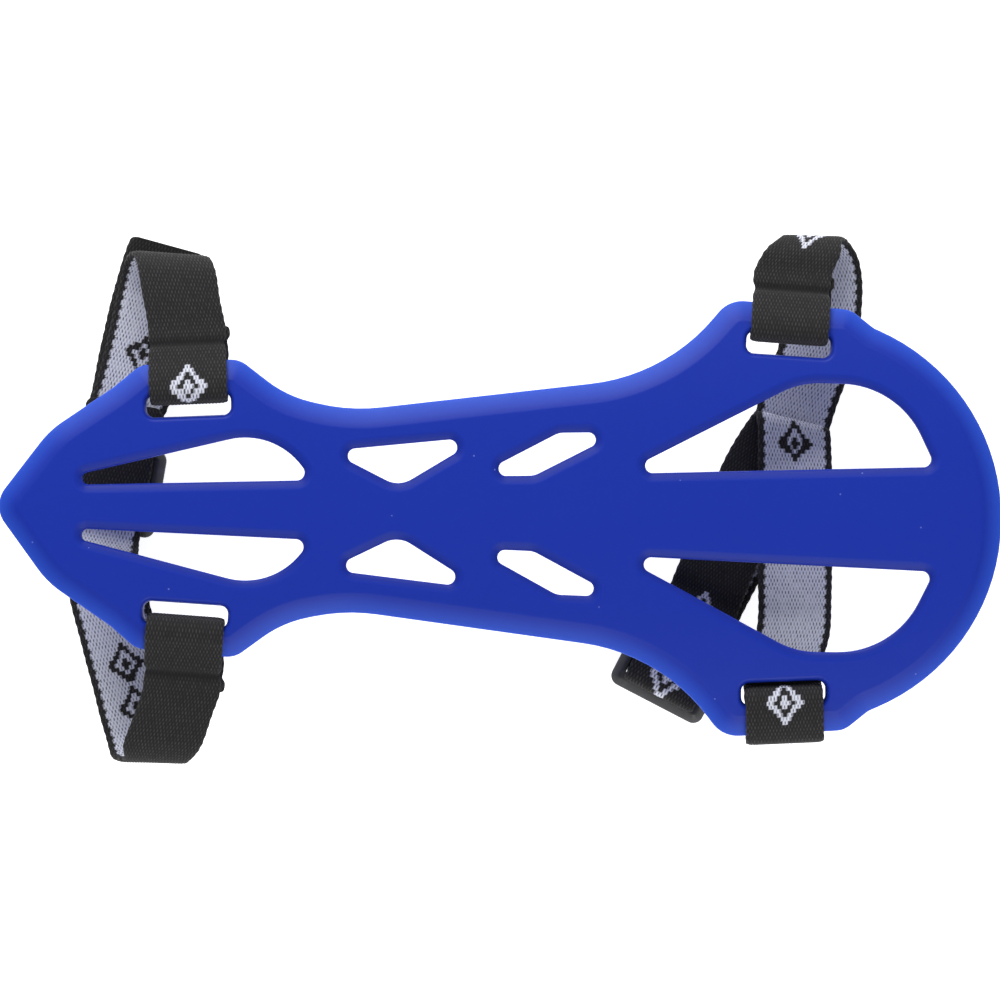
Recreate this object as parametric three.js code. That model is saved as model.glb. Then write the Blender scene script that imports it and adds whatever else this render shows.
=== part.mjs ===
// Archery arm guard: a flexible moulded plate with vents, worn on two elastic straps with sliders.
// Millimetres, +Z up. It lies face up on its own straps, as it does on a table.
// The plate is drawn in its own plan: u runs from the narrow wrist end to the wide end, v across.
import * as THREE from "three";
import { mergeVertices } from "three/addons/utils/BufferGeometryUtils.js";

// Driving sizes
const PLATE_THICKNESS = 3;
const RIM_EDGE = 1.4; // height of the outer edge below the bevel
const BEVEL_WIDTH = 3.6; // the slope round the outer rim
const HOLE_FLARE = 0.9; // how much wider each hole is at the face than at the back
const ARCH_RADIUS = 150; // the plate arches gently across the arm
const CROWN_HEIGHT = 20.7; // the face along the middle, over the table
const BAND_WIDTH = 14.8;
const BAND_THICKNESS = 1.3;
const GAP = 0.3; // clearance between neighbouring pieces
const SLIDER_WIDTH = 19.6;
const SLIDER_THICKNESS = 2.2;
const SLIDER_RAIL = 2;

// How finely curves are cut
const ARC_STEP = THREE.MathUtils.degToRad(11);
const ROW_STEP = 6.5; // the plate's faces are cut in rows this wide
const ROW_SNAP = 0.08; // a point this near a row counts as on it
const STEPS_PER_STATION = 2; // sections of a band for each row of its table
const SMALLEST_RADIUS = 0.8;
const WELD = 0.01; // points nearer than this are one

// Half of the outer edge, from the wide end to the nose: sharp corners, each with its rounding.
// A drop is how much further out the corner lies on the lower half.
const HALF_OUTLINE = [
  { u: 95.4, v: 25.8, r: 38.8, drop: 0.2 }, // round wide end
  { u: 70.9, v: 36.2, r: 4, drop: 0.7 },
  { u: 66.4, v: 39.7, r: 4.5, drop: 1 }, // wide lug
  { u: 43.2, v: 41.3, r: 6, drop: 1 },
  { u: 31.1, v: 26.6, r: 36 }, // flare from the waist to the lug
  { u: -29, v: 18.9, r: 35, drop: 0.2 }, // waist
  { u: -41, v: 21.6, r: 22 },
  { u: -50.2, v: 28.5, r: 5 }, // wrist lug
  { u: -69, v: 27, r: 4.5 },
  { u: -74, v: 22.7, r: 6 },
  { u: -86, v: 14.3, r: 18, drop: 0.3 },
];
const NOSE = { u: -96.7, v: -0.1, r: 5.5 };

// The holes of the upper half, anticlockwise, each mirrored to the lower half.
const HALF_HOLES = {
  wing: [
    { u: -79.4, v: 4.1, r: 1.1 },
    { u: -35.8, v: 5.6, r: 1.5 },
    { u: -43.3, v: 15.2, r: 13.5 },
    { u: -79.6, v: 6.2, r: 1 },
  ],
  triangle: [
    { u: -19.3, v: 4.6, r: 5 },
    { u: -3.4, v: 14.4, r: 1.5 },
    { u: -32.6, v: 11.2, r: 1.4 },
  ],
  slant: [
    { u: -4.8, v: 6.8, r: 1.4 },
    { u: 6.4, v: 7.1, r: 4 },
    { u: 22.6, v: 15.6, r: 1.4 },
    { u: 11, v: 15.3, r: 4 },
  ],
  crescent: [
    { u: 22.8, v: 7.7, r: 1.4 },
    { u: 82.8, v: 9.9, r: 1.5 },
    { u: 75.4, v: 25.3, r: 17 },
    { u: 56.9, v: 25.6, r: 16 },
  ],
  wristSlot: [
    { u: -67.5, v: 17, r: 1.5, drop: 0.8 },
    { u: -51.5, v: 17.9, r: 1.5, drop: 0.8 },
    { u: -51.7, v: 22.1, r: 1.5, drop: 0.8 },
    { u: -67.7, v: 21.2, r: 1.5, drop: 0.8 },
  ],
  wideSlot: [
    { u: 46.5, v: 31.2, r: 1.5, drop: 0.8 },
    { u: 62.5, v: 30.3, r: 1.5, drop: 0.8 },
    { u: 62.7, v: 34.5, r: 1.5, drop: 0.8 },
    { u: 46.7, v: 35.4, r: 1.5, drop: 0.8 },
  ],
};

// Where each band is sewn: the middle of its slot's outer edge, which way is out, and its seam's distance.
const SEWN = {
  wristUpper: { u: -59.6, v: 21.65, heading: 93.3, rim: 6, seam: 3.6 },
  wristLower: { u: -59.6, v: -22.45, heading: -93.3, rim: 5.2, seam: 4 },
  forearmUpper: { u: 54.7, v: 34.95, heading: 86.7, rim: 5.9, seam: 2.4 },
  forearmLower: { u: 54.75, v: -35.75, heading: -86.7, rim: 6.1, seam: 2.4 },
};

// Each slider's middle, the way that its bands run, and its underside.
const SLIDERS = {
  wrist: { u: -75.1, v: 3.7, heading: 80.9, base: 3.2 },
  forearm: { u: 33.8, v: -28.85, heading: 63.4, base: 1.6 },
};

// A slider's bars along the band, from its bare end to the end where the sewn band is.
const SLIDER_BARS = [
  { from: -8.5, to: -5.5 },
  { from: -1.1, to: 1.5 },
  { from: 5.9, to: 8.5 },
];
const END_BAR_TURN = 4.8; // where a band's middle turns up beside the sewn end's bar
const MIDDLE_BAR_TURN = -2.1; // and beside the middle bar
const SLIDER_ROUNDING = 2.2;
const WINDOW_ROUNDING = 0.5;
const SLIDER_EDGE = 0.4;

const COLOURS = {
  plate: { color: 0x2337aa, roughness: 0.45 },
  band: { color: 0x2a2826, roughness: 0.9 },
  slider: { color: 0x1e1c23, roughness: 0.5 },
};

function mirrored(corners) {
  return corners.map(({ u, v, r, drop = 0 }) => ({ u, v: -v - drop, r })).reverse();
}

// The height of the plate's middle surface over the table at a distance v from its centre line.
function plateMiddle(v) {
  return CROWN_HEIGHT - PLATE_THICKNESS / 2 - (v * v) / (2 * ARCH_RADIUS);
}

// A ring of points round an anticlockwise polygon with rounded corners, moved inwards by inset.
// A corner has the same number of points at any inset, so two rings can be joined.
function roundedRing(corners, inset) {
  const points = corners.map(({ u, v }) => new THREE.Vector2(u, v));
  const sides = points.map((point, i) => {
    const next = points[(i + 1) % points.length];
    const along = next.clone().sub(point).normalize();
    return { along, inward: new THREE.Vector2(-along.y, along.x) };
  });
  return corners.flatMap(({ r }, i) => {
    const before = sides[(i + sides.length - 1) % sides.length];
    const after = sides[i];
    const turn = Math.atan2(before.along.cross(after.along), before.along.dot(after.along));
    const side = Math.sign(turn);
    const radius = Math.max(r - side * inset, SMALLEST_RADIUS);
    const mitre = inset / (1 + before.inward.dot(after.inward));
    const centre = points[i]
      .clone()
      .addScaledVector(before.inward, mitre)
      .addScaledVector(after.inward, mitre)
      .addScaledVector(before.along, -radius * Math.tan(Math.abs(turn) / 2))
      .addScaledVector(before.inward, side * radius);
    const spoke = before.inward.clone().multiplyScalar(-side * radius);
    const steps = Math.max(1, Math.round(Math.abs(turn) / ARC_STEP));
    return Array.from({ length: steps + 1 }, (_, k) =>
      spoke
        .clone()
        .rotateAround(new THREE.Vector2(), (turn * k) / steps)
        .add(centre),
    );
  });
}

// The triangles of the wall between two rings, facing out of an anticlockwise ring.
function wall(lower, upper) {
  return lower.flatMap((point, i) => {
    const j = (i + 1) % lower.length;
    return [
      [point, lower[j], upper[j]],
      [point, upper[j], upper[i]],
    ];
  });
}

function flipped(triangles) {
  return triangles.map(([a, b, c]) => [a, c, b]);
}

function atHeight(ring, z) {
  return ring.map(({ x, y }) => new THREE.Vector3(x, y, z));
}

// A flat face with holes in it, facing up.
function flatFace(outer, holes) {
  const flat = (ring) => ring.map(({ x, y }) => new THREE.Vector2(x, y));
  const faces = THREE.ShapeUtils.triangulateShape(flat(outer), holes.map(flat));
  const points = [outer, ...holes].flat();
  return faces.map((face) => {
    const [a, b, c] = face.map((index) => points[index]);
    const turn = (b.x - a.x) * (c.y - a.y) - (b.y - a.y) * (c.x - a.x);
    return turn > 0 ? [a, b, c] : [a, c, b];
  });
}

// A convex polygon cut in two where it crosses the line y = level. A point near the line counts as on it.
function cutAt(polygon, level) {
  const offsets = polygon.map(({ y }) => (Math.abs(y - level) < ROW_SNAP ? 0 : y - level));
  const crosses = Math.max(...offsets) > 0 && Math.min(...offsets) < 0;
  if (!crosses) return [polygon];
  return [1, -1].map((side) =>
    polygon.flatMap((point, i) => {
      const j = (i + 1) % polygon.length;
      const kept = side * offsets[i] >= 0 ? [point] : [];
      if (offsets[i] * offsets[j] < 0) {
        kept.push(point.clone().lerp(polygon[j], offsets[i] / (offsets[i] - offsets[j])));
      }
      return kept;
    }),
  );
}

// Triangles cut along rows across the plate, so that it can bend.
function cutInRows(triangles, levels) {
  const polygons = levels.reduce(
    (pieces, level) => pieces.flatMap((piece) => cutAt(piece, level)),
    triangles,
  );
  return polygons.flatMap(([first, ...rest]) =>
    rest.slice(1).map((point, i) => [first, rest[i], point]),
  );
}

// A closed surface of triangles, its shared points merged and the triangles that collapse left out.
function geometryOf(triangles) {
  const soup = new THREE.BufferGeometry().setFromPoints(triangles.flat());
  const geometry = mergeVertices(soup, WELD);
  const index = Array.from(geometry.index.array);
  const kept = triangles
    .map((_, i) => index.slice(3 * i, 3 * i + 3))
    .filter(([a, b, c]) => a !== b && b !== c && c !== a);
  return geometry.setIndex(kept.flat());
}

// The plate is made flat, cut in rows and arched.
function plateGeometry() {
  const outline = [...HALF_OUTLINE, NOSE, ...mirrored(HALF_OUTLINE)];
  const holes = Object.values(HALF_HOLES).flatMap((hole) => [hole, mirrored(hole)]);
  const bottom = -PLATE_THICKNESS / 2;
  const top = PLATE_THICKNESS / 2;
  const foot = atHeight(roundedRing(outline, 0), bottom);
  const edge = atHeight(roundedRing(outline, 0), bottom + RIM_EDGE);
  const face = atHeight(roundedRing(outline, BEVEL_WIDTH), top);
  const holeFeet = holes.map((hole) => atHeight(roundedRing(hole, 0), bottom));
  const holeMouths = holes.map((hole) => atHeight(roundedRing(hole, -HOLE_FLARE), top));
  const flat = [
    ...flipped(flatFace(foot, holeFeet)),
    ...wall(foot, edge),
    ...wall(edge, face),
    ...holeFeet.flatMap((ring, i) => flipped(wall(ring, holeMouths[i]))),
    ...flatFace(face, holeMouths),
  ];
  const halfRows = Math.ceil(Math.max(...outline.map(({ v }) => v)) / ROW_STEP);
  const levels = Array.from({ length: 2 * halfRows }, (_, i) => (i - halfRows + 0.5) * ROW_STEP);
  const geometry = geometryOf(cutInRows(flat, levels));
  const position = geometry.getAttribute("position");
  for (let i = 0; i < position.count; i++) {
    position.setZ(i, position.getZ(i) + plateMiddle(position.getY(i)));
  }
  return geometry;
}

// A station of a band: the middle of its width, and the plan angle of its width line.
// Rows of a station table are u, v, z and turn in degrees.
function stations(rows) {
  return rows.map(([u, v, z, turn]) => ({ middle: new THREE.Vector3(u, v, z), turn }));
}

// Stations along one heading from a place: a row is the distance along it and the height.
function along({ u, v, heading }, rows) {
  const angle = THREE.MathUtils.degToRad(heading);
  const turn = heading - 90 * Math.sign(heading);
  return stations(
    rows.map(([a, z]) => [u + a * Math.cos(angle), v + a * Math.sin(angle), z, turn]),
  );
}

// Stations that follow the plate at a slot: a row is the distance out from the slot and the lift.
function alongRim(place, rows) {
  const outward = Math.sin(THREE.MathUtils.degToRad(place.heading));
  return along(
    place,
    rows.map(([a, lift]) => [a, plateMiddle(place.v + a * outward) + lift]),
  );
}

// A band's middle lies this far from the plate's middle surface where it lies on the plate.
const LIFT = (PLATE_THICKNESS + BAND_THICKNESS) / 2 + GAP;
const LAYER = BAND_THICKNESS + GAP; // from the middle of one layer of band to the next
const FLOOR_LAYER = BAND_THICKNESS / 2;
const SECOND_LAYER = FLOOR_LAYER + LAYER;
const SLOT_BULGE = 1.1; // how far a band's middle swings into its slot

// The sewn loop round a slot's rim: the end under the rim, up through the slot, over and out to the seam.
function sewnLoop(place) {
  const { rim, seam } = place;
  return alongRim(place, [
    [rim + seam + 3.2, -2.1],
    [rim + seam, -1.75],
    [rim + 0.4, -LIFT],
    [3, -LIFT],
    [0.6, -LIFT - 0.1],
    [-0.9, -2.4],
    [-1.4, -1.2],
    [-SLOT_BULGE, 0.2],
    [-0.5, 1.7],
    [0.7, LIFT],
    [2.4, LIFT],
    [rim - 1.4, 1.8],
    [rim + 0.6, 0.95],
    [rim + seam, -0.05],
    [rim + seam + 3.2, -0.4],
  ]);
}

// The loop at the forearm's lower slot: up round the outer edge, over and down the slot to the sewn end.
function wrappedLoop(place) {
  const { rim } = place;
  return alongRim(place, [
    [-5, -LIFT - LAYER],
    [-1, -LIFT - LAYER + 0.1],
    [1.5, -3.4],
    [4, -2.8],
    [rim + 0.1, -2.5],
    [rim + 0.85, -1.7],
    [rim + 1, -0.5],
    [rim + 0.7, 0.75],
    [rim - 0.7, 1.65],
    [2.6, LIFT],
    [0.7, LIFT],
    [-0.5, 1.7],
    [-SLOT_BULGE, 0.2],
    [-1.3, -1.4],
    [-2.2, -2.3],
    [-4, -LIFT],
    [-8.5, -LIFT],
  ]);
}

// The sewn loop round a slider's bar: under the slider, up through the window and back over it.
// The window's far side is at the given distance along the slider.
function barLoop(place, turnBack) {
  const under = place.base - GAP - BAND_THICKNESS / 2;
  const over = place.base + SLIDER_THICKNESS + GAP + BAND_THICKNESS / 2;
  const middle = (under + over) / 2;
  return along(place, [
    [14, under],
    [9.5, under],
    [turnBack + 2.2, under],
    [turnBack + 1, under + 0.1],
    [turnBack + 0.2, under + 0.9],
    [turnBack, middle],
    [turnBack + 0.2, over - 0.9],
    [turnBack + 1, over - 0.1],
    [turnBack + 2.2, over],
    [8.8, over - 0.05],
    [10.8, under + LAYER + 1.15],
    [13, under + LAYER + 0.1],
    [16.5, under + LAYER],
  ]);
}

// A band with a flat section through its stations: smooth along its length, level across its width.
function bandGeometry(route) {
  const curve = new THREE.CatmullRomCurve3(
    route.map(({ middle }) => middle),
    false,
    "centripetal",
  );
  const last = route.length - 1;
  const count = last * STEPS_PER_STATION;
  const sections = Array.from({ length: count + 1 }, (_, i) => {
    const t = i / count;
    const row = Math.min(Math.floor(t * last), last - 1);
    const turn = THREE.MathUtils.lerp(route[row].turn, route[row + 1].turn, t * last - row);
    const angle = THREE.MathUtils.degToRad(turn);
    const across = new THREE.Vector3(Math.cos(angle), Math.sin(angle), 0);
    const normal = curve.getTangent(t).cross(across).normalize();
    const middle = curve.getPoint(t);
    middle.z = Math.max(middle.z, FLOOR_LAYER); // it rests on the table and never dips under it
    const corner = (side, face) =>
      middle
        .clone()
        .addScaledVector(across, (side * BAND_WIDTH) / 2)
        .addScaledVector(normal, (face * BAND_THICKNESS) / 2);
    return [corner(-1, -1), corner(1, -1), corner(1, 1), corner(-1, 1)];
  });
  const [a, b, c, d] = sections[0];
  const [e, f, g, h] = sections[count];
  return geometryOf([
    [a, c, b],
    [a, d, c],
    ...sections.slice(1).flatMap((section, i) => wall(sections[i], section)),
    [e, f, g],
    [e, g, h],
  ]);
}

// A flat three-bar slider with rounded corners and edges, and two windows.
function sliderMesh(name, place) {
  const [bare, , sewn] = SLIDER_BARS;
  const rounded = (halfWidth, from, to, r) =>
    roundedRing(
      [
        { u: from, v: -halfWidth, r },
        { u: to, v: -halfWidth, r },
        { u: to, v: halfWidth, r },
        { u: from, v: halfWidth, r },
      ],
      0,
    );
  const half = SLIDER_WIDTH / 2;
  const outer = rounded(half - SLIDER_EDGE, bare.from + SLIDER_EDGE, sewn.to - SLIDER_EDGE, SLIDER_ROUNDING);
  const shape = new THREE.Shape(outer);
  shape.holes = SLIDER_BARS.slice(1).map(
    (bar, i) =>
      new THREE.Path(
        rounded(
          half - SLIDER_RAIL + SLIDER_EDGE,
          SLIDER_BARS[i].to - SLIDER_EDGE,
          bar.from + SLIDER_EDGE,
          WINDOW_ROUNDING + SLIDER_EDGE,
        ),
      ),
  );
  const geometry = new THREE.ExtrudeGeometry(shape, {
    depth: SLIDER_THICKNESS - 2 * SLIDER_EDGE,
    bevelSize: SLIDER_EDGE,
    bevelThickness: SLIDER_EDGE,
    bevelSegments: 1,
  });
  geometry.deleteAttribute("normal");
  geometry.deleteAttribute("uv");
  const mesh = piece(name, mergeVertices(geometry, WELD), COLOURS.slider);
  mesh.position.set(place.u, place.v, place.base + SLIDER_EDGE);
  mesh.rotation.z = THREE.MathUtils.degToRad(place.heading);
  return mesh;
}

function piece(name, geometry, finish) {
  const mesh = new THREE.Mesh(geometry, new THREE.MeshStandardMaterial({ ...finish, metalness: 0 }));
  mesh.name = name;
  return mesh;
}

// Wrist strap: the upper band goes over the edge and back under the plate to the slider's middle bar.
const wristUpper = [
  ...sewnLoop(SEWN.wristUpper),
  ...stations([
    [-61.6, 40.6, 13.9, -1],
    [-62.6, 45.8, 12.1, -2],
    [-63.9, 48.2, 9.0, -3],
    [-65.1, 47.1, 6.2, -7],
    [-66.0, 44.9, 4.1, -11],
    [-66.7, 42.0, 2.75, -14],
    [-67.4, 38.5, SECOND_LAYER, -15],
    [-71.3, 21.5, SECOND_LAYER, -13],
  ]),
  ...barLoop(SLIDERS.wrist, MIDDLE_BAR_TURN),
];

// The lower band runs back on the table, over the slider's bare bar, down its window, and on as a free tail.
const wristLower = [
  ...sewnLoop(SEWN.wristLower),
  ...stations([
    [-61.8, -39.5, 14.2, -2],
    [-63.9, -45.2, 12.2, -3],
    [-65.7, -48.4, 8.6, -2],
    [-66.8, -47.7, 4.4, 4],
    [-68.0, -43.9, 1.4, 10],
    [-69.6, -38.3, FLOOR_LAYER, 13.5],
    [-75.5, -17.0, FLOOR_LAYER, 9],
    [-76.9, -11.2, FLOOR_LAYER, 0],
  ]),
  ...along(SLIDERS.wrist, [
    [-12.5, 1.3],
    [-11.1, 3.4],
    [-10, 5.4],
    [-8.5, 6.6],
    [-6.3, 6.6],
    [-4.85, 5.8],
    [-4.35, 4.2],
    [-4.15, 2.6],
    [-3.5, 1.2],
    [-1.9, FLOOR_LAYER],
    [2, FLOOR_LAYER],
    [9, FLOOR_LAYER],
  ]),
  ...stations([
    [-71.8, 19.8, FLOOR_LAYER, -12],
    [-68.2, 36.0, FLOOR_LAYER, -13.5],
    [-64.8, 51.0, FLOOR_LAYER, -14.5],
  ]),
];

// Forearm strap: the upper band goes over the edge and lies lowest, slanting under the plate to the slider.
const forearmUpper = [
  ...sewnLoop(SEWN.forearmUpper),
  ...stations([
    [57.2, 50.6, 10.6, -3],
    [58.9, 53.4, 7.6, -1],
    [60.3, 52.8, 4.1, 0],
    [61.3, 49.4, 1.5, 1],
    [62.0, 43.0, FLOOR_LAYER, 0],
    [61.2, 32.0, FLOOR_LAYER, -9],
    [58.5, 24.0, FLOOR_LAYER, -18],
    [55.1, 15.0, FLOOR_LAYER, -24],
    [47.8, -1.5, FLOOR_LAYER, -26],
  ]),
  ...barLoop(SLIDERS.forearm, END_BAR_TURN),
];

// The lower band loops the slider's middle bar, lies on the upper one, folds back and runs to its slot.
const forearmLower = [
  ...along(SLIDERS.forearm, [
    [2.4, 4.15],
    [2.6, 2.7],
    [2.2, 1.2],
    [1.2, FLOOR_LAYER],
    [-0.6, FLOOR_LAYER],
    [-2.5, 0.8],
    [-4.0, 1.8],
    [-4.5, 3.2],
    [-4.9, 4.7],
    [-4.2, 5.5],
    [-2.8, 5.6],
    [-0.3, 5.5],
    [2.2, 5.6],
    [5.0, 6.25],
    [7.4, 6.5],
    [9.8, 6.3],
    [12.2, 5.0],
    [14.5, 4.0],
    [17.5, 3.85],
  ]),
  ...stations([
    [42.2, -10.5, 3.0, -26],
    [43.5, -7.4, SECOND_LAYER, -26],
    [49.0, 5.6, SECOND_LAYER, -26],
    [52.9, 13.3, 2.3, -24],
    [55.0, 16.9, 2.7, -20],
    [55.9, 18.3, 4.0, -13],
    [56.3, 17.1, 5.3, -7],
    [56.5, 13.0, 5.9, -2],
    [56.7, 2.0, 7.0, 0],
    [56.8, -12.0, 8.6, 0],
    [56.5, -22.0, 11.2, 1],
  ]),
  ...wrappedLoop(SEWN.forearmLower),
];

const guard = new THREE.Group();
guard.add(
  piece("guard_plate", plateGeometry(), COLOURS.plate),
  piece("wrist_strap_upper", bandGeometry(wristUpper), COLOURS.band),
  piece("wrist_strap_lower", bandGeometry(wristLower), COLOURS.band),
  sliderMesh("wrist_slider", SLIDERS.wrist),
  piece("forearm_strap_upper", bandGeometry(forearmUpper), COLOURS.band),
  piece("forearm_strap_lower", bandGeometry(forearmLower), COLOURS.band),
  sliderMesh("forearm_slider", SLIDERS.forearm),
);

// The origin is on the table, under the middle of the whole guard.
const box = new THREE.Box3().setFromObject(guard);
const middle = box.getCenter(new THREE.Vector3());
guard.position.set(-middle.x, -middle.y, -box.min.z);

const armGuard = new THREE.Group();
armGuard.add(guard);

export default armGuard;
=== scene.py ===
# %% [markdown]
# # An archery arm guard, dressed over its measured frame
#
# An archer straps this guard to the inside of the forearm, so that the bowstring slides off its smooth
# face. It is one soft blue plate with vents, and two elastic straps with sliders. The measured solids
# come packed in one frame, in metres. Each step below models one piece by hand over its solid, gives
# it its finish, and hides the plain solid.

# %% Load the measured frame
import cmath
import math

import bpy
import numpy as np
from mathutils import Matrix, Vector


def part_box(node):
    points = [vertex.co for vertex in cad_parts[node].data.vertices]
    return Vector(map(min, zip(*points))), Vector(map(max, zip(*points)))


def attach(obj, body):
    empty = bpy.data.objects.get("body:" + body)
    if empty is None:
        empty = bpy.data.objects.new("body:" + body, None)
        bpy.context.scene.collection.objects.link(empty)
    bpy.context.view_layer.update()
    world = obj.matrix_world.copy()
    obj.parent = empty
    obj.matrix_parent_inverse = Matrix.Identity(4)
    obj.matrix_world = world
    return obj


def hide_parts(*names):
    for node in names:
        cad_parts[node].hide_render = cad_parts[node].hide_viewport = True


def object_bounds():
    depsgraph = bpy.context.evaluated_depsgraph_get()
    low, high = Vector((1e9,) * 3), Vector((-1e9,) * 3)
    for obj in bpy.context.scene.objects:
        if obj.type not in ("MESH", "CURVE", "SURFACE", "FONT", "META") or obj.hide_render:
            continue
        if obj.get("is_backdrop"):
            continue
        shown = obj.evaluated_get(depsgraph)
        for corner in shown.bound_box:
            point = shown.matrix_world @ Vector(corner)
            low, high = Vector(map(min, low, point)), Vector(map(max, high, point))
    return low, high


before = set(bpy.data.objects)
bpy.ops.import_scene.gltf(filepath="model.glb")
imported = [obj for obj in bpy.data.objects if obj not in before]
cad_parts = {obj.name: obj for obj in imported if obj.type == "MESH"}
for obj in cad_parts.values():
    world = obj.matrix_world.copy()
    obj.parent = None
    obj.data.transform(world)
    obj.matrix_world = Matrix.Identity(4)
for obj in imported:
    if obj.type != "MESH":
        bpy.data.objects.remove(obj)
cad_low, cad_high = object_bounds()
print("solids in the frame:", ", ".join(sorted(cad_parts)))

# %% [markdown]
# ## One plan for everything
#
# The plate is drawn in its own plan: u runs from the pointed wrist end to the round end, v across the
# arm, and heights are over the table, all in millimetres. Modelling in millimetres keeps the numbers
# readable, and keeps every operator's tolerance far below the smallest edge. One helper carries
# finished points into the frame. It reads the plate's box, so nothing is fitted by eye.

# %% From the plan to the frame
MM = 0.001
PLATE_MIDDLE = Vector((0.033, -0.496))  # the plan point in the middle of the plate's box
plate_low, plate_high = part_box("guard_plate")
PLAN_ORIGIN = (plate_low + plate_high).xy / 2 - PLATE_MIDDLE * MM
CROWN_HEIGHT = plate_high.z / MM


def to_frame(points):
    """Plan points (u, v, height) in millimetres as places in the frame, in metres."""
    return np.asarray(points, float) * MM + (*PLAN_ORIGIN, 0)


print(f"the plate's crown is {CROWN_HEIGHT:.1f} mm over the table")

# %% [markdown]
# ## Camera
#
# The picture looks straight down from far away, so the plate's outline shows without perspective. An
# orthographic camera would also do, but a long lens keeps the slight parallax between the plate and
# the straps on the table. The lens is worked out from how many millimetres of plate one pixel covers.

# %% Place the camera
PIXELS_WIDE = 1000
MM_PER_PIXEL = 0.1900
GUARD_ROLL = math.radians(0.86)  # the guard lies turned this much in the picture
VIEW_CENTRE = (-0.03, 2.35)  # the plan point in the middle of the picture
CAMERA_DISTANCE = 1200  # over the plate's face

eye = to_frame((*VIEW_CENTRE, CROWN_HEIGHT + CAMERA_DISTANCE))
bpy.ops.object.camera_add(location=eye, rotation=(0, 0, GUARD_ROLL))
camera = bpy.context.object
camera.data.lens = camera.data.sensor_width * CAMERA_DISTANCE / (PIXELS_WIDE * MM_PER_PIXEL)
bpy.context.scene.camera = camera
print(f"lens {camera.data.lens:.0f} mm")

# %% [markdown]
# ## Floor and light
#
# The guard lies on a white table under soft light. The upper rim is the brightest, so the main softbox
# stands beyond that side, and a weaker one opposite keeps the lower rim from going dark. The table
# glows a little by itself, as a lit sheet of paper does, so that shadows on it stay pale.

# %% Lay the table
FLOOR_SIZE = 3.0  # metres
PAPER_WHITE = (0.88, 0.88, 0.88, 1)
PAPER_GLOW = 0.85

bpy.ops.mesh.primitive_plane_add(size=FLOOR_SIZE)
floor = bpy.context.object
floor.name = "table"
paper = bpy.data.materials.new("white_table")
paper.use_nodes = True
paper_shader = paper.node_tree.nodes["Principled BSDF"]
paper_shader.inputs["Base Color"].default_value = PAPER_WHITE
paper_shader.inputs["Roughness"].default_value = 0.7
paper_shader.inputs["Emission Color"].default_value = (1, 1, 1, 1)
paper_shader.inputs["Emission Strength"].default_value = PAPER_GLOW
floor.data.materials.append(paper)
floor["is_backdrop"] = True
print("table", tuple(round(side, 1) for side in floor.dimensions))

# %% Hang the softboxes
# Each row is the name, the place in metres, the side of the box and its power in watts.
SOFTBOXES = [
    ("main_softbox", (-0.25, 0.95, 0.50), 0.7, 12.5),
    ("fill_softbox", (0.20, -0.90, 0.60), 0.7, 7.5),
]
SKY_COLOUR = (0.95, 0.97, 1, 1)
SKY_STRENGTH = 0.48

for name, place, side, power in SOFTBOXES:
    aim = (-Vector(place)).to_track_quat("-Z", "Y").to_euler()
    bpy.ops.object.light_add(type="AREA", location=place, rotation=aim)
    box = bpy.context.object
    box.name = name
    box.data.size = side
    box.data.energy = power
sky = bpy.data.worlds.new("studio")
sky.use_nodes = True
background = sky.node_tree.nodes["Background"]
background.inputs["Color"].default_value = SKY_COLOUR
background.inputs["Strength"].default_value = SKY_STRENGTH
bpy.context.scene.world = sky
bpy.context.scene.view_settings.view_transform = "Standard"
print("softboxes:", len(SOFTBOXES))

# %% [markdown]
# ## Helpers for modelling by hand
#
# An operator acts on all that is selected, so each step first selects one object alone. Walls and
# bands both start as the grid primitive: a sheet of squares, whose rows are laid where they belong, as
# one would slide its edge loops into place.

# %% Select one piece, lay a grid
def only(piece):
    """Select one object, active, with all others deselected."""
    if bpy.context.object and bpy.context.object.mode != "OBJECT":
        bpy.ops.object.mode_set(mode="OBJECT")
    bpy.ops.object.select_all(action="DESELECT")
    piece.select_set(True)
    bpy.context.view_layer.objects.active = piece


def laid_grid(name, rows):
    """A grid primitive with its vertices laid on rows of points."""
    rows = np.asarray(rows, float)
    bpy.ops.object.select_all(action="DESELECT")
    bpy.ops.mesh.primitive_grid_add(x_subdivisions=rows.shape[1] - 1, y_subdivisions=rows.shape[0] - 1)
    sheet = bpy.context.object
    sheet.name = name
    sheet.data.name = name
    sheet.data.vertices.foreach_set("co", rows.ravel())
    sheet.data.update()
    return sheet


def points_of(piece):
    """All the vertices of a piece as rows of x, y and z."""
    points = np.empty(len(piece.data.vertices) * 3)
    piece.data.vertices.foreach_get("co", points)
    return points.reshape(-1, 3)


print("a grid can be laid")


# %% Move points, join pieces, count triangles
def move_points(piece, points):
    """Put the vertices of a piece at new places."""
    piece.data.vertices.foreach_set("co", np.asarray(points, float).ravel())
    piece.data.update()


def join_pieces(name, pieces):
    """Join several objects into the first one."""
    only(pieces[0])
    for piece in pieces:
        piece.select_set(True)
    bpy.ops.object.join()
    pieces[0].name = name
    pieces[0].data.name = name
    return pieces[0]


def count_of(piece):
    """How many triangles a piece has, for the printed notes."""
    return sum(len(face.vertices) - 2 for face in piece.data.polygons)


print("pieces can be joined and counted")

# %% [markdown]
# ## The plate's outline
#
# The plate is moulded in one shot from a soft plastic: a pointed wrist end, a slim waist, two lugs for
# each strap and a round wide end. An outline like this could be traced as a long list of points, but a
# few sharp corners, each with its own rounding, say the same and can be moved by hand. The lower half
# mirrors the upper one, with some corners dropped a little further out, because the moulding is not
# quite even. Moving every corner inwards gives the next ring of the bevel.

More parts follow.
